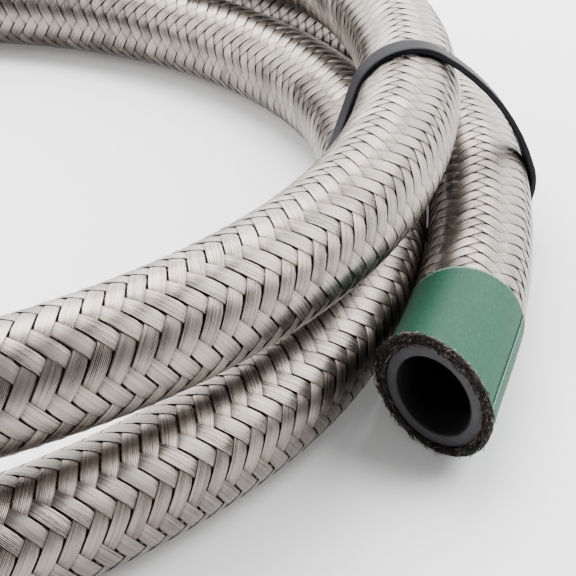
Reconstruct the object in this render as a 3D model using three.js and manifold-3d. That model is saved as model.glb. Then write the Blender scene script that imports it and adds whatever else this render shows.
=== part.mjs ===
// A length of braided steel hose, coiled and held by one cable tie.
// Millimetres, +Z up. The coil lies flat, and the origin is the middle of its footprint.
import * as THREE from "three";
import { mergeVertices } from "three/addons/utils/BufferGeometryUtils.js";
import Module from "manifold-3d";

// Hose section
const boreDiameter = 14.0;
const rubberWall = 2.1;
const layerGap = 0.25;
const braidWall = 0.65;
const hoseSides = 12;
const stepLength = 23;

// Tape around each cut end
const tapeWidth = 25.0;
const tapeThickness = 0.3;
const tapeGap = 0.25;
const tapeSides = 24;
const frontCutTurn = 24;

// Cable tie
const tieWidth = 4.8;
const tieThickness = 1.2;
const tieGap = 0.6;
const tieHead = { along: 7.5, out: 4.6, width: 7.6 };
const tieHeadSunk = 0.6;
const tieHeadAngle = 205;
// how far the stiff strap bows out between the top strand and the outer one
const tieBow = 2.2;
// the tie's middle seen from the coil's middle, and how far the tie is turned askew
const tieDistance = 127.0;
const tieForward = 3.0;
const tieTurn = 8;
// the strands pass the tie at a slant, so they are wider there
const tieSlack = 0.8;

// Where the coil's own middle is, seen from the middle of the footprint
const coilMiddle = { x: -5.16, y: -8.28 };

// The hose's route from the front end to the rear end: the angle around the coil in degrees,
// the distance from the coil's middle, and how far the hose is raised off the floor.
const route = [
  [-31.1, 145.9, 0.8],
  [-20, 142.2, 0.9],
  [-10, 140.6, 1.3],
  [0, 140.6, 1.85],
  [12, 141.6, 1.3],
  [30, 142.5, 0.3],
  [60, 142.3, 0.1],
  [90, 141.0, 0.1],
  [120, 139.0, 0.1],
  [150, 136.2, 0.1],
  [180, 133.2, 0.1],
  [210, 130.2, 0.1],
  [240, 127.3, 0.1],
  [270, 124.8, 0.1],
  [290, 123.4, 0.1],
  [306, 122.8, 0.1],
  [324, 122.6, 0.3],
  [342, 121.4, 1.0],
  [360, 120.0, 1.85],
  [378, 121.2, 1.0],
  [396, 121.2, 0.2],
  [414, 120.5, 0.1],
  [432, 119.3, 0.1],
  [450, 117.9, 0.1],
  [480, 115.5, 0.1],
  [510, 113.2, 0.1],
  [540, 110.8, 0.1],
  [570, 108.2, 0.6],
  [600, 106.4, 5.0],
  [620, 106.6, 11.0],
  [640, 110.0, 18.2],
  [656, 115.4, 21.8],
  [672, 120.2, 23.2],
  [688, 123.0, 23.0],
  [704, 124.8, 22.2],
  [720, 127.2, 21.3],
  [735, 130.8, 20.2],
  [750, 133.6, 20.4],
  [768, 134.0, 19.8],
  [790, 132.2, 18.8],
  [804, 130.9, 18.4],
];

const boreRadius = boreDiameter / 2;
const rubberRadius = boreRadius + rubberWall;
const braidInside = rubberRadius + layerGap;
const hoseRadius = braidInside + braidWall;

function routePoint([angle, distance, raised]) {
  const a = THREE.MathUtils.degToRad(angle);
  const x = coilMiddle.x + distance * Math.cos(a);
  const y = coilMiddle.y + distance * Math.sin(a);
  return new THREE.Vector3(x, y, hoseRadius + raised);
}

const middleLine = new THREE.CatmullRomCurve3(route.map(routePoint));
middleLine.arcLengthDivisions = 2000;
const hoseLength = middleLine.getLength();

// A stretch of the middle line, as a curve of its own
class Stretch extends THREE.Curve {
  constructor(line, from, to) {
    super();
    this.line = line;
    this.from = from;
    this.to = to;
    this.arcLengthDivisions = 400;
  }
  getPoint(t, target = new THREE.Vector3()) {
    const u = this.from + (this.to - this.from) * t;
    return target.copy(this.line.getPointAt(u));
  }
}

function ringShape(outer, inner, sides) {
  const corner = (radius, i) => {
    const a = (2 * Math.PI * i) / sides;
    return new THREE.Vector2(radius * Math.cos(a), radius * Math.sin(a));
  };
  const outline = [];
  const hole = [];
  for (let i = 0; i < sides; i += 1) {
    outline.push(corner(outer, i));
    hole.push(corner(inner, -i));
  }
  const shape = new THREE.Shape(outline);
  shape.holes.push(new THREE.Path(hole));
  return shape;
}

// The front end is cut a little askew: its face turns about the vertical.
const frontPoint = middleLine.getPointAt(0);
const frontAlong = middleLine.getTangentAt(0);
const frontSide = new THREE.Vector3(frontAlong.y, -frontAlong.x, 0).normalize();

function skewFrontFace(geometry) {
  const spot = new THREE.Vector3();
  const position = geometry.attributes.position;
  const slope = Math.tan(THREE.MathUtils.degToRad(frontCutTurn));
  for (let i = 0; i < position.count; i += 1) {
    spot.fromBufferAttribute(position, i).sub(frontPoint);
    if (Math.abs(spot.dot(frontAlong)) < 0.02 && spot.length() < 2 * hoseRadius) {
      spot.addScaledVector(frontAlong, -slope * spot.dot(frontSide)).add(frontPoint);
      position.setXYZ(i, spot.x, spot.y, spot.z);
    }
  }
  return geometry;
}

function hoseLayer(outer, inner, line, length, sides) {
  const shape = ringShape(outer, inner, sides);
  const steps = Math.max(1, Math.round(length / stepLength));
  return new THREE.ExtrudeGeometry(shape, { steps, extrudePath: line });
}

const rubberTubeGeometry = skewFrontFace(
  hoseLayer(rubberRadius, boreRadius, middleLine, hoseLength, hoseSides),
);
const steelBraidGeometry = skewFrontFace(
  hoseLayer(hoseRadius, braidInside, middleLine, hoseLength, hoseSides),
);

const tapeShare = tapeWidth / hoseLength;
const tapeInner = hoseRadius / Math.cos(Math.PI / tapeSides) + tapeGap;
const tapeOuter = tapeInner + tapeThickness;
const frontStretch = new Stretch(middleLine, 0, tapeShare);
const rearStretch = new Stretch(middleLine, 1 - tapeShare, 1);
const frontTapeGeometry = skewFrontFace(
  hoseLayer(tapeOuter, tapeInner, frontStretch, tapeWidth, tapeSides),
);
const rearTapeGeometry = hoseLayer(tapeOuter, tapeInner, rearStretch, tapeWidth, tapeSides);

// The tie's strap follows the hull of the three strands that it holds, in an upright plane. The
// plane's own x runs outwards through the tie's middle, and a strand is where the line crosses it.
const tieMiddle = new THREE.Vector3(coilMiddle.x + tieDistance, coilMiddle.y - tieForward, 0);
const tieAcross = new THREE.Vector3(1, 0, 0).applyAxisAngle(
  new THREE.Vector3(0, 0, 1),
  THREE.MathUtils.degToRad(tieTurn),
);

function crossings(count) {
  const found = [];
  let lastBeyond = 0;
  for (let i = 0; i <= count; i += 1) {
    const spot = middleLine.getPointAt(i / count).sub(tieMiddle);
    const beyond = spot.y * tieAcross.x - spot.x * tieAcross.y;
    if (i > 0 && spot.x > -tieDistance && beyond > 0 !== lastBeyond > 0) {
      found.push(new THREE.Vector2(spot.dot(tieAcross), spot.z));
    }
    lastBeyond = beyond;
  }
  return found;
}

const [outerStrand, innerStrand, topStrand] = crossings(8000);
const downSide = outerStrand.clone().sub(topStrand).normalize();
const bowOut = new THREE.Vector2(-downSide.y, downSide.x).multiplyScalar(tieBow);
const bow = outerStrand.clone().lerp(topStrand, 0.5).add(bowOut);
const heldStrands = [outerStrand, innerStrand, topStrand, bow];

function hullOutline(offset, count) {
  const points = [];
  for (let i = 0; i < count; i += 1) {
    const a = (2 * Math.PI * i) / count;
    const way = new THREE.Vector2(Math.cos(a), Math.sin(a));
    let best = heldStrands[0];
    for (const strand of heldStrands) {
      if (strand.dot(way) > best.dot(way)) {
        best = strand;
      }
    }
    const x = best.x + (offset + tieSlack) * way.x;
    points.push(new THREE.Vector2(x, best.y + offset * way.y));
  }
  return points;
}

const strapInside = hoseRadius + tieGap;
const strapOutside = strapInside + tieThickness;
const strapShape = new THREE.Shape(hullOutline(strapOutside, 72));
strapShape.holes.push(new THREE.Path(hullOutline(strapInside, 72).reverse()));
const strapGeometry = new THREE.ExtrudeGeometry(strapShape, {
  depth: tieWidth,
  steps: 1,
  bevelEnabled: false,
});
strapGeometry.translate(0, 0, -tieWidth / 2);

// The head is a small block on the strap's inner side, low down beside the floor.
const headAngle = THREE.MathUtils.degToRad(tieHeadAngle);
const headGeometry = new THREE.BoxGeometry(tieHead.out, tieHead.along, tieHead.width);
headGeometry.translate(strapOutside + tieHead.out / 2 - tieHeadSunk, 0, 0);
headGeometry.rotateZ(headAngle);
headGeometry.translate(innerStrand.x, innerStrand.y, 0);

const wasm = await Module();
wasm.setup();

function toSolid(source) {
  const bare = new THREE.BufferGeometry();
  bare.setAttribute("position", source.attributes.position.clone());
  if (source.index) {
    bare.setIndex(source.index.clone());
  }
  const merged = mergeVertices(bare, 1e-4);
  return new wasm.Manifold(
    new wasm.Mesh({
      numProp: 3,
      vertProperties: new Float32Array(merged.attributes.position.array),
      triVerts: new Uint32Array(merged.index.array),
    }),
  );
}

function toGeometry(solid) {
  const mesh = solid.getMesh();
  const geometry = new THREE.BufferGeometry();
  geometry.setAttribute("position", new THREE.BufferAttribute(mesh.vertProperties, 3));
  geometry.setIndex(new THREE.BufferAttribute(mesh.triVerts, 1));
  geometry.computeVertexNormals();
  return geometry;
}

const tieGeometry = toGeometry(toSolid(strapGeometry).add(toSolid(headGeometry)));

const steel = new THREE.MeshStandardMaterial({ color: 0xc9c5be, roughness: 0.35, metalness: 1.0 });
const rubber = new THREE.MeshStandardMaterial({ color: 0x2a2a2d, roughness: 0.75, metalness: 0.0 });
const tape = new THREE.MeshStandardMaterial({ color: 0x2f7d60, roughness: 0.7, metalness: 0.0 });
const nylon = new THREE.MeshStandardMaterial({ color: 0x141416, roughness: 0.4, metalness: 0.0 });

function named(name, geometry, material) {
  const mesh = new THREE.Mesh(geometry, material);
  mesh.name = name;
  return mesh;
}

const hose = new THREE.Group();
hose.name = "coiled_braided_hose";
hose.add(named("rubber_tube", rubberTubeGeometry, rubber));
hose.add(named("steel_braid", steelBraidGeometry, steel));
hose.add(named("front_end_tape", frontTapeGeometry, tape));
hose.add(named("rear_end_tape", rearTapeGeometry, tape));

const tie = named("cable_tie", tieGeometry, nylon);
// The strap is drawn flat, so it is stood up, its own y becoming z, and turned askew.
tie.rotation.order = "ZYX";
tie.rotation.set(Math.PI / 2, 0, THREE.MathUtils.degToRad(tieTurn));
tie.position.copy(tieMiddle);
hose.add(tie);

export default hose;
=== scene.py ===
import math
import random

import bmesh
import bpy
import numpy as np
from mathutils import Matrix, Vector


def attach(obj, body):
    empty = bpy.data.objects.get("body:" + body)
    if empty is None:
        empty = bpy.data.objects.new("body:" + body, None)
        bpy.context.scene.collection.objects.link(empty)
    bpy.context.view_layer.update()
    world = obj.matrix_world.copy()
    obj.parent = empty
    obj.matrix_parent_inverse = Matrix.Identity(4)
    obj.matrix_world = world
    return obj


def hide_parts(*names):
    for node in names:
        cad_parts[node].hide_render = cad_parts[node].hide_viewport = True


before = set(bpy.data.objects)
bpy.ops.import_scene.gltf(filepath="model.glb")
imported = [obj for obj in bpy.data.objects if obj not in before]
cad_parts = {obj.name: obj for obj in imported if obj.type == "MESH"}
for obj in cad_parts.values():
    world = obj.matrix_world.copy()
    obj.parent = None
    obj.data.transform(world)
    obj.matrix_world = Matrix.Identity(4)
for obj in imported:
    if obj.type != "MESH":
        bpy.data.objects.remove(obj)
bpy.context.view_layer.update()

mm = 0.001
roundShare = 0.3  # how far in from a corner the middle of its rounding lies, of the round's radius

# Camera
cameraView = {
    "place": (0.09693, -0.32616, 0.1724),
    "pitchDown": 30.0,
    "roll": 2.49,
    "lens": 111.4,
    "sensor": 36.0,
    "clipStart": 0.01,
}


def makeCamera(view):
    pitch = math.radians(view["pitchDown"])
    roll = math.radians(view["roll"])
    forward = Vector((0, math.cos(pitch), -math.sin(pitch)))
    right = Vector((1, 0, 0))
    down = forward.cross(right)
    turnedRight = math.cos(roll) * right + math.sin(roll) * down
    turnedDown = -math.sin(roll) * right + math.cos(roll) * down
    data = bpy.data.cameras.new("camera")
    data.lens = view["lens"]
    data.sensor_width = view["sensor"]
    data.clip_start = view["clipStart"]
    camera = bpy.data.objects.new("camera", data)
    axes = Matrix((turnedRight, -turnedDown, -forward)).transposed().to_4x4()
    camera.matrix_world = Matrix.Translation(view["place"]) @ axes
    bpy.context.scene.collection.objects.link(camera)
    bpy.context.scene.camera = camera


makeCamera(cameraView)
print("camera placed")

# Route
hoseForm = {
    "radius": 10.0 * mm,
    "boreRadius": 7.0 * mm,
    "rubberRadius": 9.1 * mm,
    "coilMiddle": (-5.16 * mm, -8.28 * mm),
    "splineSteps": 12000,
    "lineSteps": 1830,
    "frontCutTurn": 24.0,
}

# angle around the coil in degrees, distance from its middle and rise off the floor, in millimetres
route = [
    (-31.1, 145.9, 0.8),
    (-20, 142.2, 0.9),
    (-10, 140.6, 1.3),
    (0, 140.6, 1.85),
    (12, 141.6, 1.3),
    (30, 142.5, 0.3),
    (60, 142.3, 0.1),
    (90, 141.0, 0.1),
    (120, 139.0, 0.1),
    (150, 136.2, 0.1),
    (180, 133.2, 0.1),
    (210, 130.2, 0.1),
    (240, 127.3, 0.1),
    (270, 124.8, 0.1),
    (290, 123.4, 0.1),
    (306, 122.8, 0.1),
    (324, 122.6, 0.3),
    (342, 121.4, 1.0),
    (360, 120.0, 1.85),
    (378, 121.2, 1.0),
    (396, 121.2, 0.2),
    (414, 120.5, 0.1),
    (432, 119.3, 0.1),
    (450, 117.9, 0.1),
    (480, 115.5, 0.1),
    (510, 113.2, 0.1),
    (540, 110.8, 0.1),
    (570, 108.2, 0.6),
    (600, 106.4, 5.0),
    (620, 106.6, 11.0),
    (640, 110.0, 18.2),
    (656, 115.4, 21.8),
    (672, 120.2, 23.2),
    (688, 123.0, 23.0),
    (704, 124.8, 22.2),
    (720, 127.2, 21.3),
    (735, 130.8, 20.2),
    (750, 133.6, 20.4),
    (768, 134.0, 19.8),
    (790, 132.2, 18.8),
    (804, 130.9, 18.4),
]


def naturalSpline(points, count):
    # a cubic curve through all points, with no bend left at its two ends
    chord = np.linalg.norm(np.diff(points, axis=0), axis=1)
    knots = np.concatenate([[0.0], np.cumsum(chord)])
    n = len(points)
    system = np.zeros((n, n))
    wanted = np.zeros((n, 3))
    system[0, 0] = system[-1, -1] = 1.0
    for i in range(1, n - 1):
        system[i, i - 1] = chord[i - 1]
        system[i, i] = 2.0 * (chord[i - 1] + chord[i])
        system[i, i + 1] = chord[i]
        rise = (points[i + 1] - points[i]) / chord[i]
        rise -= (points[i] - points[i - 1]) / chord[i - 1]
        wanted[i] = 6.0 * rise
    bend = np.linalg.solve(system, wanted)
    t = np.linspace(0.0, knots[-1], count)
    i = np.clip(np.searchsorted(knots, t, side="right") - 1, 0, n - 2)
    h = chord[i][:, None]
    a = (knots[i + 1] - t)[:, None] / h
    b = (t - knots[i])[:, None] / h
    line = a * points[i] + b * points[i + 1]
    line += ((a**3 - a) * bend[i] + (b**3 - b) * bend[i + 1]) * h**2 / 6.0
    return line


class MiddleLine:
    def __init__(self, entries, form):
        angle = np.radians([entry[0] for entry in entries])
        distance = np.array([entry[1] for entry in entries]) * mm
        points = np.stack(
            [
                form["coilMiddle"][0] + distance * np.cos(angle),
                form["coilMiddle"][1] + distance * np.sin(angle),
                form["radius"] + np.array([entry[2] for entry in entries]) * mm,
            ],
            axis=1,
        )
        fine = naturalSpline(points, form["splineSteps"])
        run = np.concatenate([[0.0], np.cumsum(np.linalg.norm(np.diff(fine, axis=0), axis=1))])
        self.length = float(run[-1])
        self.run = np.linspace(0.0, self.length, form["lineSteps"] + 1)
        self.place = np.stack([np.interp(self.run, run, fine[:, k]) for k in range(3)], axis=1)
        along = np.gradient(self.place, axis=0)
        self.along = along / np.linalg.norm(along, axis=1)[:, None]
        up = np.array([0.0, 0.0, 1.0])
        side = [np.cross(self.along[0], up)]
        for step in self.along[1:]:
            # carried along without twist
            carried = side[-1] - step * np.dot(side[-1], step)
            side.append(carried / np.linalg.norm(carried))
        side[0] = side[0] / np.linalg.norm(side[0])
        self.side = np.array(side)
        self.lift = np.cross(self.side, self.along)

    def spread(self, values, run):
        inside = np.clip(run, 0.0, self.length)
        return np.stack([np.interp(inside, self.run, values[:, k]) for k in range(3)], axis=-1)

    def surface(self, run, turn, radius):
        # the point at a run along the line, a turn around it and a radius from it
        middle = self.spread(self.place, run)
        along = self.spread(self.along, run)
        side = self.spread(self.side, run)
        lift = self.spread(self.lift, run)
        beyond = run - np.clip(run, 0.0, self.length)
        out = np.cos(turn)[..., None] * side + np.sin(turn)[..., None] * lift
        return middle + beyond[..., None] * along + radius[..., None] * out

    def frontFace(self, turn, radius, form):
        # how far along the line the skewed cut lies, at a turn and radius
        slope = math.tan(math.radians(form["frontCutTurn"]))
        flat = np.array([self.along[0][1], -self.along[0][0], 0.0])
        flat = flat / np.linalg.norm(flat)
        reach = np.cos(turn) * np.dot(self.side[0], flat) + np.sin(turn) * np.dot(self.lift[0], flat)
        return -slope * radius * reach


hose = MiddleLine(route, hoseForm)
print("route laid, length", round(hose.length, 4))

# Mesh helpers


def makePiece(name, vertices, faces, materials):
    mesh = bpy.data.meshes.new(name)
    vertices = np.asarray(vertices, dtype=np.float32)
    faces = np.asarray(faces, dtype=np.int32)
    mesh.vertices.add(len(vertices))
    mesh.vertices.foreach_set("co", vertices.ravel())
    corners = faces.shape[1]
    mesh.loops.add(faces.size)
    mesh.loops.foreach_set("vertex_index", faces.ravel())
    mesh.polygons.add(len(faces))
    mesh.polygons.foreach_set("loop_start", np.arange(0, faces.size, corners, dtype=np.int32))
    mesh.polygons.foreach_set("loop_total", np.full(len(faces), corners, dtype=np.int32))
    mesh.polygons.foreach_set("use_smooth", np.ones(len(faces), dtype=bool))
    mesh.update(calc_edges=True)
    mesh.validate()
    for material in materials:
        mesh.materials.append(material)
    piece = bpy.data.objects.new(name, mesh)
    bpy.context.scene.collection.objects.link(piece)
    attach(piece, "root")
    return piece


def setUv(mesh, name, perVertex):
    layer = mesh.uv_layers.new(name=name)
    corner = np.empty(len(mesh.loops), dtype=np.int32)
    mesh.loops.foreach_get("vertex_index", corner)
    layer.data.foreach_set("uv", np.asarray(perVertex, dtype=np.float32)[corner].ravel())


def setNumber(mesh, name, perVertex):
    attribute = mesh.attributes.new(name, "FLOAT", "POINT")
    attribute.data.foreach_set("value", np.asarray(perVertex, dtype=np.float32).ravel())


def gridFaces(rows, columns, closeRows, closeColumns, flip=False):
    rowEnd = rows if closeRows else rows - 1
    columnEnd = columns if closeColumns else columns - 1
    r = np.arange(rowEnd)[:, None]
    c = np.arange(columnEnd)[None, :]
    nextRow = (r + 1) % rows
    nextColumn = (c + 1) % columns
    faces = np.stack(
        [
            r * columns + c,
            r * columns + nextColumn,
            nextRow * columns + nextColumn,
            nextRow * columns + c,
        ],
        axis=-1,
    ).reshape(-1, 4)
    return faces[:, ::-1] if flip else faces


# Shader helpers


class Flow:
    # a socket that can be used in sums
    def __init__(self, tree, socket):
        self.tree = tree
        self.socket = socket

    def maths(self, operation, *others, swap=False):
        node = self.tree.nodes.new("ShaderNodeMath")
        node.operation = operation
        values = [self, *others]
        if swap:
            values.reverse()
        for place, value in zip(node.inputs, values):
            feed(self.tree, place, value)
        return Flow(self.tree, node.outputs[0])

    def __add__(self, other):
        return self.maths("ADD", other)

    def __radd__(self, other):
        return self.maths("ADD", other)

    def __sub__(self, other):
        return self.maths("SUBTRACT", other)

    def __rsub__(self, other):
        return self.maths("SUBTRACT", other, swap=True)

    def __mul__(self, other):
        return self.maths("MULTIPLY", other)

    def __rmul__(self, other):
        return self.maths("MULTIPLY", other)

    def __truediv__(self, other):
        return self.maths("DIVIDE", other)

    def __rtruediv__(self, other):
        return self.maths("DIVIDE", other, swap=True)

    def __pow__(self, other):
        return self.maths("POWER", other)


def feed(tree, place, value):
    if isinstance(value, Flow):
        tree.links.new(value.socket, place)
    elif value is not None:
        place.default_value = value


class Shader:
    def __init__(self, name):
        self.material = bpy.data.materials.new(name)
        self.material.use_nodes = True
        self.tree = self.material.node_tree
        self.surface = self.tree.nodes["Principled BSDF"]

    def add(self, kind, settings=None, values=None, output=0):
        node = self.tree.nodes.new(kind)
        for key, value in (settings or {}).items():
            setattr(node, key, value)
        for key, value in (values or {}).items():
            feed(self.tree, node.inputs[key], value)
        return Flow(self.tree, node.outputs[output])

    def blend(self, factor, first, second):
        node = self.tree.nodes.new("ShaderNodeMix")
        node.data_type = "RGBA"
        feed(self.tree, node.inputs[0], factor)
        for place, value in ((6, first), (7, second)):
            if not isinstance(value, Flow):
                value = (*value, 1.0)
            feed(self.tree, node.inputs[place], value)
        return Flow(self.tree, node.outputs[2])

    def ease(self, value, low, high):
        settings = {"interpolation_type": "SMOOTHSTEP"}
        return self.add("ShaderNodeMapRange", settings, {0: value, 1: low, 2: high})

    def noise(self, vector, scale, detail=2.0, roughness=0.5):
        values = {"Scale": scale, "Detail": detail, "Roughness": roughness, "Vector": vector}
        return self.add("ShaderNodeTexNoise", None, values)

    def number(self, name):
        return self.add("ShaderNodeAttribute", {"attribute_name": name}, output=2)

    def place(self):
        return self.add("ShaderNodeTexCoord", output=3)

    def bump(self, strength, distance, height):
        values = {"Strength": strength, "Distance": distance, "Height": height}
        return self.add("ShaderNodeBump", None, values)

    def finish(self, **values):
        for key, value in values.items():
            feed(self.tree, self.surface.inputs[key], value)
        return self.material


def parts(shader, vector):
    # a vector taken apart into three numbers
    node = shader.tree.nodes.new("ShaderNodeSeparateXYZ")
    feed(shader.tree, node.inputs[0], vector)
    return [Flow(shader.tree, node.outputs[k]) for k in range(3)]


def join(shader, x, y, z=0.0):
    return shader.add("ShaderNodeCombineXYZ", None, {0: x, 1: y, 2: z})


# Steel braid
braidForm = {
    "carriers": 12,
    "lay": 42.5 * mm,
    "narrowWidth": 2.34 * mm,
    "floatWidth": 2.64 * mm,
    "ribbonThickness": 0.18 * mm,
    "middleRadius": 9.74 * mm,
    "weaveHeight": 0.14 * mm,
    "weaveSharpness": 2.0,
    "stepsPerLay": 48,
    "overrun": 3,  # steps past each end, before the cut
    "patternTurn": 0.12,
    # section: four points on the crowned top, two beneath, as shares of width and thickness
    "sectionAcross": (-0.5, -0.24, 0.24, 0.5, 0.47, -0.47),
    "sectionHeight": (0.25, 0.5, 0.5, 0.25, -0.5, -0.5),
    "wires": 10,
    "wireWobble": 1.4,
    "darkWire": (0.10, 0.089, 0.077),
    "lightWire": (0.42, 0.375, 0.332),
    # painted shade colour for the grooves between the wires
    "grooveShade": (0.060, 0.048, 0.038),
    # painted shade colour for the outline along the ribbons' edges
    "edgeShade": (0.045, 0.036, 0.028),
    # dirt and painted shade colour for where a ribbon dips under its neighbours
    "dirtAndShade": (0.075, 0.046, 0.026),
    "leanAcross": 11.0,
    "leanAlong": 3.6,
    "bump": 0.75,
    "bumpDepth": 0.05 * mm,
    "roughness": 0.20,
}


def makeSteelMaterial(form):
    shader = Shader("braidedSteel")
    along, across, _ = parts(shader, shader.add("ShaderNodeUVMap", {"uv_map": "ribbon"}))
    ribbon = shader.number("carrier")
    sink = shader.number("sink")
    plait = shader.number("plait")
    # the wires side by side in a ribbon, not quite straight
    wobble = shader.noise(join(shader, along * 0.12, ribbon * 7.3), 1.0, 1.0)
    wire = across * form["wires"] + (wobble - 0.5) * form["wireWobble"]
    fromMiddle = (wire.maths("FRACT") - 0.5).maths("ABSOLUTE") * 2.0
    roundTop = (1.0 - fromMiddle * fromMiddle * 0.96) ** 0.5
    grooveShade = shader.ease(fromMiddle, 0.62, 1.0)
    # each wire has a shade of its own, and streaks along it
    wirePick = join(shader, wire.maths("FLOOR") + ribbon * 3.17, ribbon * 1.31)
    shade = shader.add(
        "ShaderNodeTexWhiteNoise", {"noise_dimensions": "2D"}, {"Vector": wirePick}
    )
    streak = shader.noise(join(shader, along * 0.9, wire * 2.3, ribbon * 5.0), 1.0, 3.0)
    mixed = shade * 0.50 + streak * 0.30 + plait * 0.30
    tone = shader.blend(mixed, form["darkWire"], form["lightWire"])
    # the grooves between the wires are painted dark: painted shade between the wires
    tone = shader.blend(grooveShade * (0.22 + shade * 0.48), tone, form["grooveShade"])
    # the ribbons' edges are painted dark: painted shade of the gaps between the ribbons
    edgeShade = shader.ease((across - 0.5).maths("ABSOLUTE"), 0.45, 0.50)
    tone = shader.blend(edgeShade * 0.88, tone, form["edgeShade"])
    # where a ribbon dips under its neighbours it is painted dark brown: partly dirt, partly painted
    # shade
    depth = shader.ease(sink, 0.25, 0.80)
    tone = shader.blend(depth * 0.95, tone, form["dirtAndShade"])
    # each stretch on top lies at a slant of its own
    leanAcross = (plait - 0.5) * across * form["leanAcross"]
    leanAlong = ((plait * 7.13).maths("FRACT") - 0.5) * along * form["leanAlong"]
    height = roundTop + streak * 0.5 + leanAcross + leanAlong
    values = {
        "Base Color": tone,
        "Metallic": 1.0 - depth * 0.5,
        "Roughness": form["roughness"] + shade * 0.08 + plait * 0.08 + grooveShade * 0.15,
        "Normal": shader.bump(form["bump"], form["bumpDepth"], height),
    }
    return shader.finish(**values)


def wave(value, sharpness):
    # +1 while a ribbon is on top, -1 while it is beneath, over two crossings each
    return np.tanh(sharpness * np.cos(math.pi * (value - 0.5) / 2.0)) / math.tanh(sharpness)


def scatter(first, second):
    # a steady number between 0 and 1 for each pair
    mixed = np.sin(first * 12.9898 + second * 78.233) * 43758.5453
    return mixed - np.floor(mixed)


def makeRibbons(line, form, direction, chosen):
    lay = form["lay"]
    tilt = math.atan(2.0 * math.pi * form["middleRadius"] / lay)
    between = 2.0 * math.pi / form["carriers"]
    steps = int(math.ceil(line.length / lay * form["stepsPerLay"])) + 2 * form["overrun"]
    acrossShare = np.array(form["sectionAcross"])
    heightShare = np.array(form["sectionHeight"])
    corners = len(acrossShare)
    ends = [[0, 3, 2, 1], [0, 5, 4, 3]]
    blocks = {key: [] for key in ("vertices", "faces", "uv", "sink", "carrier", "plait")}
    offset = 0
    for index in chosen:
        run = (np.arange(steps) - form["overrun"]) * lay / form["stepsPerLay"]
        base = index * between + direction * 2.0 * math.pi * run / lay
        # the wires spread where they lie over or under, and crowd where they change sides
        crossing = index + (base + direction * 2.0 * math.pi * run / lay) / between
        spread = np.abs(wave(crossing, form["weaveSharpness"]))
        width = form["narrowWidth"] + (form["floatWidth"] - form["narrowWidth"]) * spread
        across = acrossShare[None, :] * width[:, None]
        runs = run[:, None] + across * math.sin(tilt)
        turns = base[:, None] - direction * across * math.cos(tilt) / form["middleRadius"]
        # which ribbon of the other way round is being crossed
        other = (turns + direction * 2.0 * math.pi * runs / lay) / between
        level = wave(index + other, form["weaveSharpness"]) * direction
        radius = form["middleRadius"] + form["weaveHeight"] * level
        radius = radius + heightShare[None, :] * form["ribbonThickness"]
        turns = turns + form["patternTurn"]
        face = line.frontFace(turns, radius, hoseForm)
        runs = np.clip(runs, face, line.length)
        place = line.surface(runs, turns, radius)
        count = place.shape[0] * place.shape[1]
        faces = gridFaces(steps, corners, False, True)
        first = np.array(ends)
        last = first[:, ::-1] + (steps - 1) * corners
        faces = np.concatenate([faces, first, last])
        if direction < 0:
            faces = faces[:, ::-1]
        blocks["vertices"].append(place.reshape(-1, 3))
        blocks["faces"].append(faces + offset)
        sideways = np.broadcast_to(acrossShare + 0.5, runs.shape)
        length = np.broadcast_to(run[:, None] / mm, runs.shape)
        blocks["uv"].append(np.stack([length, sideways], axis=-1).reshape(-1, 2))
        blocks["sink"].append((0.5 - 0.5 * level).ravel())
        # one number for each stretch on top, which comes back every four crossings
        overNumber = np.round((index + other - 1.5 + direction) / 4.0)
        blocks["plait"].append(scatter(overNumber, index + 20.0 * direction).ravel())
        blocks["carrier"].append(np.full(count, index + (0.5 if direction < 0 else 0.0)))
        offset += count
    return blocks


def makeBraidPiece(name, line, form, direction, chosen, material):
    blocks = makeRibbons(line, form, direction, chosen)
    faces = np.concatenate(blocks["faces"])
    piece = makePiece(name, np.concatenate(blocks["vertices"]), faces, [material])
    setUv(piece.data, "ribbon", np.concatenate(blocks["uv"]))
    for key in ("sink", "carrier", "plait"):
        setNumber(piece.data, key, np.concatenate(blocks[key]))
    piece.data.set_sharp_from_angle(angle=math.radians(50))
    return piece


steelMaterial = makeSteelMaterial(braidForm)
perPiece = braidForm["carriers"] // 2
for direction, word in ((1, "right"), (-1, "left")):
    for half in range(2):
        chosen = range(half * perPiece, (half + 1) * perPiece)
        name = "braid_" + word + "_" + "ab"[half]
        piece = makeBraidPiece(name, hose, braidForm, direction, chosen, steelMaterial)
        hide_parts("steel_braid")
print("braid woven")

# Rubber tube
tubeForm = {
    "sides": 40,
    "rings": 500,
    "rimRound": 0.25 * mm,
    "faceRings": 3,
    "skewFade": 11.0 * mm,
    "burr": 0.45 * mm,
    "burrDepth": 1.5 * mm,
    "frontClear": 3.0 * mm,  # no plain rings nearer to the cuts than these
    "rearClear": 2.0 * mm,
    "skin": ((0.010, 0.010, 0.011), (0.028, 0.026, 0.026)),
    "stain": ((0.070, 0.040, 0.022), (0.34, 0.185, 0.088)),
    "cut": ((0.030, 0.030, 0.034), (0.105, 0.103, 0.112)),
    "speck": (0.012, 0.012, 0.013),
}


def makeRubberMaterial(form):
    shader = Shader("blackRubber")
    spot = shader.place()
    cloud = shader.noise(spot, 380.0, 4.0, 0.6)
    fine = shader.noise(spot, 2600.0, 3.0, 0.7)
    # under the braid the tube's skin is stained brown
    rust = shader.ease(shader.noise(spot, 240.0, 3.0, 0.6), 0.42, 0.62)
    brown = shader.blend(rust, *form["stain"])
    tone = shader.blend(shader.number("stain"), shader.blend(cloud, *form["skin"]), brown)
    bump = shader.bump(0.4, 0.1 * mm, cloud + fine * 0.5)
    return shader.finish(**{"Base Color": tone, "Roughness": 0.6 + cloud * 0.2, "Normal": bump})


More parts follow.
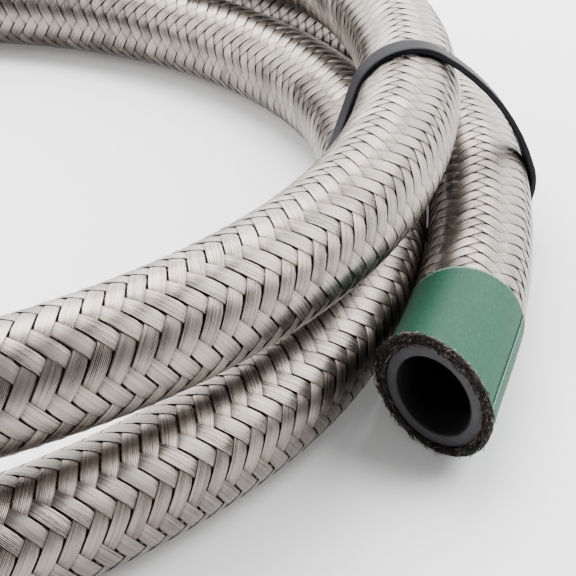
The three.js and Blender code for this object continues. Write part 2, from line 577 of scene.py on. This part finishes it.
def makeCutMaterial(form):
    # the freshly cut rubber is greyer than the tube's own skin, and smeared by the blade
    shader = Shader("cutRubber")
    spot = shader.place()
    x, y, z = parts(shader, spot)
    smear = shader.noise(join(shader, x * 300.0, y * 300.0, z * 1500.0), 1.0, 4.0, 0.6)
    cloud = shader.noise(spot, 520.0, 5.0, 0.62)
    speck = shader.ease(shader.noise(spot, 3300.0, 2.0, 0.6), 0.62, 0.72)
    tone = shader.blend(cloud * 0.6 + smear * 0.5, *form["cut"])
    tone = shader.blend(speck * 0.5, tone, form["speck"])
    bump = shader.bump(0.5, 0.12 * mm, smear * 0.7 + cloud - speck * 0.3)
    return shader.finish(**{"Base Color": tone, "Roughness": 0.62 + cloud * 0.25, "Normal": bump})


def makeTube(line, form, materials):
    sides = form["sides"]
    runs = np.linspace(0.0, line.length, form["rings"])
    turns = np.arange(sides) * 2.0 * math.pi / sides
    outer, inner, rim = hoseForm["rubberRadius"], hoseForm["boreRadius"], form["rimRound"]
    # rows go out along the outside, over the rear rim and back along the bore
    body = [run for run in runs if form["frontClear"] < run < line.length - form["rearClear"]]
    outside = [(0.0, outer - rim), (rim * roundShare, outer - rim * roundShare), (rim, outer)]
    outside += [(run, outer) for run in body]
    outside += [(line.length - rim, outer), (line.length - rim * roundShare, outer - rim * roundShare)]
    outside += [(line.length, outer - rim)]
    inside = [(line.length, inner + rim), (line.length - rim * roundShare, inner + rim * roundShare)]
    inside += [(line.length - rim, inner)] + [(run, inner) for run in reversed(body)]
    inside += [(rim, inner), (rim * roundShare, inner + rim * roundShare), (0.0, inner + rim)]
    # the cut faces get rings of their own, so that the blade's marks can be shaped
    shares = np.linspace(0.0, 1.0, form["faceRings"] + 2)[1:-1]
    middleRadii = [inner + rim + (outer - inner - 2 * rim) * share for share in shares]
    rearFace = [(line.length, radius) for radius in reversed(middleRadii)]
    frontFace = [(0.0, radius) for radius in middleRadii]
    rows = outside + rearFace + inside + frontFace
    run = np.array([row[0] for row in rows])[:, None] + np.zeros((1, sides))
    radius = np.array([row[1] for row in rows])[:, None] + np.zeros((1, sides))
    turn = np.zeros_like(run) + turns[None, :]
    skew = line.frontFace(turn, radius, hoseForm)
    fade = np.clip(1.0 - run / form["skewFade"], 0.0, 1.0)
    run = run + skew * fade
    # the saw has pushed the rim outwards, most of all on top
    pushed = np.clip(1.0 - run / form["burrDepth"], 0.0, 1.0) * (0.6 + 0.4 * np.sin(turn))
    radius = radius + form["burr"] * pushed * np.clip((radius - inner) / (outer - inner), 0.0, 1.0)
    place = line.surface(run, turn, radius).reshape(-1, 3)
    faces = gridFaces(len(rows), sides, True, True)
    piece = makePiece("rubber_hose_tube", place, faces, materials)
    piece.data.set_sharp_from_angle(angle=math.radians(60))
    # the cut faces use the second material
    atFront = len(outside) + len(rearFace) + len(inside) - 1
    index = np.zeros(len(faces), dtype=np.int32)
    rowOf = np.arange(len(faces)) // sides
    index[(rowOf >= len(outside) - 1) & (rowOf < len(outside) + len(rearFace))] = 1
    index[rowOf >= atFront] = 1
    piece.data.polygons.foreach_set("material_index", index)
    setNumber(piece.data, "stain", (radius > outer - rim * 0.1).astype(float))
    return piece


tubeMaterials = [makeRubberMaterial(tubeForm), makeCutMaterial(tubeForm)]
tubePiece = makeTube(hose, tubeForm, tubeMaterials)
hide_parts("rubber_tube")
print("rubber tube made")

# End tape
tapeForm = {
    "width": 25.0 * mm,
    "firstRadius": 10.12 * mm,
    "layer": 0.13 * mm,
    "layers": 2.35,
    "freeEnd": 0.22,
    "endLift": 0.12 * mm,
    "flare": 0.70 * mm,
    "thickness": 0.10 * mm,
    "stepsPerTurn": 160,
    "rows": 26,
    "cutEdge": 0.15 * mm,
    "cutFray": 0.16 * mm,
    "farFray": 0.10 * mm,
    "drift": 0.45 * mm,
    "ripple": 0.035 * mm,
    "rearTurn": 2.2,
    "liftedTurn": 0.22,
    "cloth": ((0.001, 0.042, 0.020), (0.006, 0.118, 0.066)),
    "between": (0.002, 0.030, 0.016),
    "worn": (0.065, 0.20, 0.145),
    # painted highlight colour along the tape's free end and far edge
    "edgeGlint": (0.30, 0.44, 0.38),
    "edgeGlintWidth": 0.2,  # in millimetres, as its texture is
    "shine": 0.26,
}


def makeTapeMaterial(form):
    shader = Shader("greenClothTape")
    along, around, _ = parts(shader, shader.add("ShaderNodeUVMap", {"uv_map": "tape"}))
    # threads about every half millimetre, both ways
    warp = (along * 2.2 * math.pi).maths("SINE").maths("ABSOLUTE")
    weft = (around * 2.0 * math.pi).maths("SINE").maths("ABSOLUTE")
    threads = warp * 0.5 + weft * 0.5
    cloud = shader.noise(join(shader, along * 0.5, around * 0.35), 1.0, 4.0, 0.6)
    slub = shader.noise(join(shader, along * 0.5, around * 3.0), 1.0, 2.0, 0.5)
    tone = shader.blend(cloud * 0.7 + slub * 0.3, *form["cloth"])
    tone = shader.blend((1.0 - threads) * 0.8, tone, form["between"])
    patches = shader.noise(join(shader, along * 1.1, around * 1.9), 1.0, 5.0, 0.8)
    tone = shader.blend(shader.ease(patches, 0.50, 0.70) * 0.36, tone, form["worn"])
    # a pale line is painted along the free end and the far edge: a painted highlight where these edges
    # catch the light
    fuzz = shader.noise(join(shader, along * 3.0, around * 3.0), 1.0, 2.0, 0.6)
    ragged = (fuzz - 0.5) * 1.6
    lastAround = form["layers"] * 2.0 * math.pi * form["firstRadius"] / mm
    farEdge, reach = form["width"] / mm, form["edgeGlintWidth"]
    edgeGlint = shader.ease(around + ragged, lastAround - 1.5 * reach, lastAround)
    edgeGlint = edgeGlint + shader.ease(along + ragged, farEdge - reach, farEdge + reach)
    tone = shader.blend(edgeGlint.maths("MINIMUM", 1.0) * 0.6, tone, form["edgeGlint"])
    values = {
        "Base Color": tone,
        "Specular IOR Level": form["shine"],
        "Roughness": 0.58 + threads * 0.14,
        "Normal": shader.bump(0.55, 0.08 * mm, threads + cloud * 0.8),
    }
    return shader.finish(**values)


def makeTape(name, node, line, form, fromFront, material, seed):
    chance = random.Random(seed)
    steps = int(form["stepsPerTurn"] * form["layers"])
    rows = form["rows"]
    angle = np.linspace(0.0, form["layers"] * 2.0 * math.pi, steps)
    layerNumber = angle / (2.0 * math.pi)
    cutFray = np.array([chance.uniform(-1.0, 1.0) for _ in range(steps)]) * form["cutFray"]
    farFray = np.array([chance.uniform(-1.0, 1.0) for _ in range(steps)]) * form["farFray"]
    drift = form["drift"] * (np.sin(angle * 0.43 + seed) + np.sin(angle * 2.1) / 3.75)
    low = form["cutEdge"] * (1.0 + np.sin(angle * 3.0 + seed) / 1.5) + cutFray
    high = form["width"] + drift + farFray
    share = np.linspace(0.0, 1.0, rows)
    offset = low[:, None] + (high - low)[:, None] * share[None, :]
    radius = form["firstRadius"] + form["layer"] * layerNumber[:, None] + np.zeros((1, rows))
    ripple = form["ripple"] * np.sin(5.0 * angle[:, None] + 3.0 * share[None, :] + seed)
    radius = radius + ripple * (1.0 - share[None, :]) ** 2
    start = form["freeEnd"] - angle[-1] + (0.0 if fromFront else form["rearTurn"])
    turn = angle[:, None] + np.zeros((1, rows)) + start
    # the wrap stands off a little at the cut, on one side, and its free end lifts
    opened = np.clip(np.cos(turn + 0.25), 0.0, 1.0) * (1.0 - share[None, :]) ** 2.5
    lifted = np.clip(1.0 - (angle[-1] - angle[:, None]) / form["liftedTurn"], 0.0, 1.0) ** 2
    radius = radius + form["flare"] * opened + form["endLift"] * lifted
    if fromFront:
        skew = line.frontFace(turn, radius, hoseForm)
        run = offset + skew * np.clip(1.0 - share[None, :] * 1.2, 0.0, 1.0)
    else:
        run = line.length - offset
    top = line.surface(run, turn, radius)
    under = line.surface(run, turn, radius - form["thickness"])
    ring = np.concatenate([top, under[:, ::-1]], axis=1)
    columns = ring.shape[1]
    faces = gridFaces(steps, columns, False, True, flip=not fromFront)
    caps = []
    for k in range(rows - 1):
        quad = [k, k + 1, columns - 2 - k, columns - 1 - k]
        last = [(steps - 1) * columns + corner for corner in quad]
        caps.append(quad if fromFront else quad[::-1])
        caps.append(last[::-1] if fromFront else last)
    faces = np.concatenate([faces, np.array(caps)])
    piece = makePiece(name, ring.reshape(-1, 3), faces, [material])
    aroundMm = angle[:, None] * form["firstRadius"] / mm + np.zeros((1, columns))
    alongMm = np.concatenate([offset, offset[:, ::-1]], axis=1) / mm
    setUv(piece.data, "tape", np.stack([alongMm, aroundMm], axis=-1).reshape(-1, 2))
    piece.data.set_sharp_from_angle(angle=math.radians(50))
    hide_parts(node)
    return piece


tapeMaterial = makeTapeMaterial(tapeForm)
frontTape = makeTape("front_tape_wrap", "front_end_tape", hose, tapeForm, True, tapeMaterial, 3)
rearTape = makeTape("rear_tape_wrap", "rear_end_tape", hose, tapeForm, False, tapeMaterial, 8)
print("tape wrapped")

# Frayed ends
frayForm = {
    "wires": {"front": 1500, "rear": 700},
    "threads": {"front": 500, "rear": 250},
    "wild": {"wires": 0.9, "threads": 1.6},
    "innerRadius": 9.15 * mm,
    "outerRadius": 10.1 * mm,
    "flare": 1.45 * mm,
    "wireRadius": 0.065 * mm,
    "reach": 1.15 * mm,
    "rimInset": 0.25 * mm,
    "lean": 2.2,
    "outward": (-0.35, 0.55),
    "curl": 0.6,
    "tucked": 0.5 * mm,
    "bedSides": 220,
    "bedRows": 9,
    "bedBack": 1.2 * mm,
    "bedInset": 0.3 * mm,
    "bedHill": 0.55 * mm,
    "offFloor": 0.08 * mm,
    # dark tone, light tone, metallic and roughness of each material
    "bedLook": ((0.003, 0.003, 0.003), (0.026, 0.021, 0.020), 0.0, 0.75),
    # the wires' light tone is a painted glint on a few strands
    "wireLook": ((0.008, 0.007, 0.007), (0.56, 0.42, 0.36), 0.45, 0.35),
    "threadLook": ((0.003, 0.003, 0.004), (0.050, 0.042, 0.042), 0.0, 0.7),
}


def rimRadius(form, turn):
    # the frayed ring flares everywhere but underneath, where it rests
    return form["outerRadius"] + form["flare"] * np.clip(0.85 * (1.0 + np.sin(turn)), 0.0, 1.0)


def makeFrayMaterial(name, dark, light, metallic, roughness):
    shader = Shader(name)
    strand = {"W": shader.number("strand")}
    pick = shader.add("ShaderNodeTexWhiteNoise", {"noise_dimensions": "1D"}, strand)
    cloud = shader.noise(shader.place(), 900.0, 3.0)
    # only a few strands are bright: on the wire ends these are painted glints
    tone = shader.blend(pick ** 8.0 * 0.9 + cloud * 0.12, dark, light)
    values = {"Base Color": tone, "Roughness": roughness + cloud * 0.2, "Metallic": metallic}
    return shader.finish(**values)


def tubeAlong(points, radius):
    # a thin closed tube with a square section through a few points
    corners = 4
    along = np.gradient(points, axis=0)
    along = along / np.linalg.norm(along, axis=1)[:, None]
    helper = np.array([0.31, 0.52, 0.79])
    side = np.cross(along, helper)
    side = side / np.linalg.norm(side, axis=1)[:, None]
    lift = np.cross(side, along)
    a = np.arange(corners) * 2.0 * math.pi / corners
    ring = points[:, None, :] + radius * (
        np.cos(a)[None, :, None] * side[:, None, :] + np.sin(a)[None, :, None] * lift[:, None, :]
    )
    faces = gridFaces(len(points), corners, False, True, flip=True)
    ends = [list(range(corners)), [len(points) * corners - 1 - k for k in range(corners)]]
    return ring.reshape(-1, 3), np.concatenate([faces, np.array(ends)])


def endSurface(line, form, fromFront, depth, turn, radius):
    # a point at a depth outside the cut face
    turn = np.asarray(turn, dtype=float)
    radius = np.asarray(radius, dtype=float)
    if fromFront:
        run = line.frontFace(turn, radius, hoseForm) - depth
    else:
        run = line.length + np.asarray(depth, dtype=float)
    place = line.surface(np.asarray(run, dtype=float), turn, radius)
    # nothing reaches below the floor
    place[..., 2] = np.maximum(place[..., 2], form["offFloor"])
    return place


def makeFray(name, line, form, fromFront, count, material, seed, wild, slotName):
    # loose ends that stand out of the cut, and lean more the wilder they are
    chance = random.Random(seed)
    vertices, faces, strand = [], [], []
    offset = 0
    for number in range(count):
        turn = chance.uniform(0.0, 2.0 * math.pi)
        spread = chance.random()
        outer = rimRadius(form, turn) - form["rimInset"]
        start = form["innerRadius"] + (outer - form["innerRadius"]) * spread
        reach = form["reach"] * (0.25 + 0.75 * chance.random() ** 1.5)
        lean = chance.uniform(-form["lean"], form["lean"]) * wild
        outward = chance.uniform(*form["outward"]) * form["reach"] * wild
        curl = chance.uniform(-form["curl"], form["curl"]) * wild
        depth = np.array([-0.6, 0.0, 0.45, 0.8, 1.0]) * reach
        depth[0] = -form["tucked"]
        t = np.array([-0.1, 0.0, 0.4, 0.75, 1.0])
        turns = turn + (lean * t + curl * t * t) * form["reach"] / start
        radii = start + outward * t * t
        points = endSurface(line, form, fromFront, depth, turns, radii)
        ring, quads = tubeAlong(points, form["wireRadius"] * chance.uniform(0.6, 1.15))
        vertices.append(ring)
        faces.append(quads + offset)
        strand.append(np.full(len(ring), number * 0.731))
        offset += len(ring)
    piece = makePiece(name, np.concatenate(vertices), np.concatenate(faces), [material])
    setNumber(piece.data, "strand", np.concatenate(strand))
    return piece


def makeFrayBed(name, line, form, fromFront, material, seed):
    # the packed, dirty ring of wire ends and threads between the rubber and the tape
    chance = random.Random(seed)
    sides, rows = form["bedSides"], form["bedRows"]
    turns = np.arange(sides) * 2.0 * math.pi / sides
    share = np.linspace(0.0, 1.0, rows)
    bumps = np.array([[chance.random() for _ in range(sides)] for _ in range(rows)])
    turn = turns[None, :] + np.zeros((rows, 1))
    inner = form["innerRadius"] + 0.02 * mm
    radius = inner + (rimRadius(form, turn) - form["bedInset"] - inner) * share[:, None]
    hill = np.sin(math.pi * share)[:, None] ** 0.5
    depth = 0.05 * mm + form["bedHill"] * hill * (0.3 + 0.7 * bumps)
    outside = endSurface(line, form, fromFront, depth, turn, radius)
    tucked = np.minimum(radius, hoseForm["radius"])
    back = endSurface(line, form, fromFront, np.full_like(depth, -form["bedBack"]), turn, tucked)
    ring = np.concatenate([outside, back[::-1]], axis=0)
    faces = gridFaces(2 * rows, sides, True, True, flip=not fromFront)
    piece = makePiece(name, ring.reshape(-1, 3), faces, [material])
    setNumber(piece.data, "strand", np.concatenate([bumps, bumps]).ravel() * 40.0)
    return piece


bedMaterial = makeFrayMaterial("frayBed", *frayForm["bedLook"])
wireMaterial = makeFrayMaterial("frayWire", *frayForm["wireLook"])
threadMaterial = makeFrayMaterial("frayThread", *frayForm["threadLook"])
frayKinds = (
    ("_wire_ends", "wires", wireMaterial, "steel_braid"),
    ("_loose_threads", "threads", threadMaterial, "rubber"),
)
for fromFront, word, seed in ((True, "front", 11), (False, "rear", 29)):
    bed = makeFrayBed(word + "_fray_bed", hose, frayForm, fromFront, bedMaterial, seed)
    for number, (ending, kind, material, slotName) in enumerate(frayKinds):
        count, wild = frayForm[kind][word], frayForm["wild"][kind]
        start = (word + ending, hose, frayForm, fromFront, count, material)
        makeFray(*start, seed + 1 + number, wild, slotName)
print("ends frayed")

# Cable tie
tieForm = {
    "width": 4.8 * mm,
    "thickness": 1.2 * mm,
    "clearance": 0.14 * mm,
    "slack": 0.25 * mm,
    "round": 0.28 * mm,
    "distance": 127.0 * mm,
    "forward": 3.0 * mm,
    "turn": 8.0,
    "bow": 2.2 * mm,
    "head": {"along": 7.5 * mm, "out": 4.4 * mm, "width": 7.6 * mm, "angle": 205.0},
    "headRound": 0.55 * mm,
    "headTaper": (0.82, 0.90),
    "headRecess": (0.9 * mm, 0.7 * mm),
    "headSunk": 0.5 * mm,
    "teeth": 150,
    "toothHeight": 0.3 * mm,
    "rackEdge": 0.9 * mm,
    "tone": ((0.010, 0.010, 0.012), (0.024, 0.024, 0.027)),
    "shine": 0.05,
}


def makeTieMaterial(form):
    shader = Shader("blackNylon")
    spot = shader.place()
    cloud = shader.noise(spot, 260.0, 3.0)
    fine = shader.noise(spot, 2400.0, 2.0, 0.6)
    values = {
        "Base Color": shader.blend(cloud, *form["tone"]),
        "Specular IOR Level": form["shine"],
        "Roughness": 0.40 + cloud * 0.14,
        "Normal": shader.bump(0.25, 0.06 * mm, fine + cloud),
    }
    return shader.finish(**values)


def tieMiddle(form):
    # the tie's own middle, and the way its upright plane runs outwards
    turn = math.radians(form["turn"])
    x, y = hoseForm["coilMiddle"]
    middle = np.array([x + form["distance"], y - form["forward"], 0.0])
    return middle, np.array([math.cos(turn), math.sin(turn), 0.0])


def tieStrands(line, form):
    # where the hose crosses the tie's plane: the outer strand, the inner one, then the top one
    middle, across = tieMiddle(form)
    spot = line.place - middle
    beyond = spot[:, 1] * across[0] - spot[:, 0] * across[1]
    near = spot[1:, 0] > -form["distance"]
    crossed = np.nonzero(near & (np.sign(beyond[1:]) != np.sign(beyond[:-1])))[0]
    return [np.array([spot[i] @ across, spot[i, 2]]) for i in crossed]


def hullPath(line, form, count):
    # the path of the strap's inner face around its three strands, in the tie's own plane
    outer, inner, top = tieStrands(line, form)
    downSide = (outer - top) / np.linalg.norm(outer - top)
    bowOut = form["bow"] * np.array([-downSide[1], downSide[0]])
    shares = np.linspace(0.0, 1.0, 9)[1:-1]
    bow = [outer * (1.0 - t) + top * t + bowOut * 4.0 * t * (1.0 - t) for t in shares]
    reach = hoseForm["radius"] + form["clearance"]
    points = []
    for a in np.linspace(0.0, 2.0 * math.pi, count * 4, endpoint=False):
        way = np.array([math.cos(a), math.sin(a)])
        best = max((outer, inner, top, *bow), key=lambda centre: centre @ way)
        points.append(best + way * np.array([reach + form["slack"], reach]))
    points = np.array(points + [points[0]])
    run = np.concatenate([[0.0], np.cumsum(np.linalg.norm(np.diff(points, axis=0), axis=1))])
    even = np.linspace(0.0, run[-1], count, endpoint=False)
    return np.stack([np.interp(even, run, points[:, k]) for k in range(2)], axis=1)


def fromTie(form, out, across, height):
    # a point of the tie's own plane, moved across it, as a place in the scene
    middle, way = tieMiddle(form)
    sideways = np.array([-way[1], way[0], 0.0])
    place = middle + np.multiply.outer(out, way) + np.multiply.outer(across, sideways)
    place[..., 2] = height
    return place


def makeStrap(line, form, material):
    count = form["teeth"] * 4
    path = hullPath(line, form, count)
    along = np.roll(path, -1, axis=0) - np.roll(path, 1, axis=0)
    along = along / np.linalg.norm(along, axis=1)[:, None]
    outward = np.stack([along[:, 1], -along[:, 0]], axis=1)
    half, thick, soft = form["width"] / 2.0, form["thickness"], form["round"]
    rack, tooth = half - form["rackEdge"], form["toothHeight"]
    # half of the section: across the strap and outwards from its inner face
    side = [
        (rack - 0.05 * mm, tooth),
        (rack, 0.0),
        (half - soft, 0.0),
        (half, soft),
        (half, thick - soft),
        (half - soft * roundShare, thick - soft * roundShare),
        (half - soft, thick),
        (rack, thick),
    ]
    section = [(-across, out) for across, out in reversed(side[:-1])] + side
    section.append((-rack, thick))
    inRack = (len(side) - 2, len(side) - 1)
    teeth = np.where((np.arange(count) % 4) < 2, 0.0, tooth)
    rows = np.zeros((count, len(section), 3))
    for k, (across, out) in enumerate(section):
        height = 0.02 * mm + teeth if k in inRack else np.full(count, out)
        out = path[:, 0] + outward[:, 0] * height
        rows[:, k] = fromTie(form, out, np.full(count, across), path[:, 1] + outward[:, 1] * height)
    faces = gridFaces(count, len(section), True, True, flip=True)
    piece = makePiece("tie_strap", rows.reshape(-1, 3), faces, [material])
    piece.data.set_sharp_from_angle(angle=math.radians(40))
    return piece


def makeTieHead(line, form, material):
    size = form["head"]
    shape = bmesh.new()
    bmesh.ops.create_cube(shape, size=1.0)
    bmesh.ops.scale(shape, vec=(size["out"], size["width"], size["along"]), verts=shape.verts)
    for vertex in shape.verts:
        if vertex.co.x > 0:
            vertex.co.z *= form["headTaper"][0]
            vertex.co.y *= form["headTaper"][1]
    edges = list(shape.edges)
    bmesh.ops.bevel(
        shape, geom=edges, offset=form["headRound"], segments=3, profile=0.6, affect="EDGES"
    )
    # a recess in the outer face
    top = max(shape.faces, key=lambda face: face.calc_center_median().x)
    rim, recess = form["headRecess"]
    bmesh.ops.inset_region(shape, faces=[top], thickness=rim)
    for vertex in top.verts:
        vertex.co.x -= recess
    mesh = bpy.data.meshes.new("tie_head")
    shape.to_mesh(mesh)
    shape.free()
    mesh.materials.append(material)
    head = bpy.data.objects.new("tie_head", mesh)
    bpy.context.scene.collection.objects.link(head)
    angle = math.radians(size["angle"])
    _, inner, _ = tieStrands(line, form)
    reach = hoseForm["radius"] + form["clearance"] + form["thickness"]
    reach += size["out"] / 2.0 - form["headSunk"]
    out = inner[0] + (reach + form["slack"]) * math.cos(angle)
    middle = fromTie(form, out, 0.0, inner[1] + reach * math.sin(angle))
    lean = Matrix.Rotation(-angle, 4, "Y")
    turn = Matrix.Rotation(math.radians(form["turn"]), 4, "Z")
    mesh.transform(Matrix.Translation(middle) @ turn @ lean)
    mesh.shade_smooth()
    mesh.set_sharp_from_angle(angle=math.radians(35))
    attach(head, "root")
    return head


tieMaterial = makeTieMaterial(tieForm)
strap = makeStrap(hose, tieForm, tieMaterial)
tieHead = makeTieHead(hose, tieForm, tieMaterial)
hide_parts("cable_tie")
print("tie made")

print("hose pieces made")

# Studio
studioForm = {
    "floor": (0.95, 0.95, 0.95),
    "floorReach": 3.0,
    "glow": 0.15,
    "world": (0.97, 0.98, 1.0),
    "worldStrength": 0.28,
    "lamps": (
        # place, aim, width, depth, watts
        ((0.20, 1.70, 0.55), (0.0, 0.0, 0.0), 3.20, 1.10, 58.0),
        ((-0.10, 0.75, 1.15), (0.0, 0.0, 0.0), 1.30, 0.90, 56.0),
        ((0.90, 0.15, 0.70), (0.08, -0.02, 0.0), 0.70, 0.90, 20.0),
        ((-1.10, 0.35, 0.60), (0.0, 0.0, 0.0), 1.00, 0.90, 18.0),
    ),
}


def makeFloor(form):
    shader = Shader("paleFloor")
    cloud = shader.noise(shader.place(), 3.0, 2.0)
    base = form["floor"]
    values = {
        "Base Color": shader.blend(cloud, base, tuple(v * 1.02 for v in base)),
        "Roughness": 0.85,
        "Emission Color": (1.0, 1.0, 1.0, 1.0),
        "Emission Strength": form["glow"],
    }
    material = shader.finish(**values)
    mesh = bpy.data.meshes.new("floor")
    far = form["floorReach"]
    corners = [(-far, -far, 0.0), (far, -far, 0.0), (far, far, 0.0), (-far, far, 0.0)]
    mesh.from_pydata(corners, [], [(0, 1, 2, 3)])
    mesh.materials.append(material)
    floor = bpy.data.objects.new("floor", mesh)
    bpy.context.scene.collection.objects.link(floor)


def makeLamps(form):
    for number, (place, aim, width, depth, watts) in enumerate(form["lamps"]):
        data = bpy.data.lights.new("lamp_" + str(number), "AREA")
        data.shape = "RECTANGLE"
        data.size = width
        data.size_y = depth
        data.energy = watts
        lamp = bpy.data.objects.new("lamp_" + str(number), data)
        lamp.location = place
        way = Vector(aim) - Vector(place)
        lamp.rotation_euler = way.to_track_quat("-Z", "Y").to_euler()
        bpy.context.scene.collection.objects.link(lamp)


def makeWorld(form):
    world = bpy.data.worlds.new("studio")
    world.use_nodes = True
    background = world.node_tree.nodes["Background"]
    background.inputs["Color"].default_value = (*form["world"], 1.0)
    background.inputs["Strength"].default_value = form["worldStrength"]
    bpy.context.scene.world = world


makeFloor(studioForm)
makeLamps(studioForm)
makeWorld(studioForm)
print("studio lit")
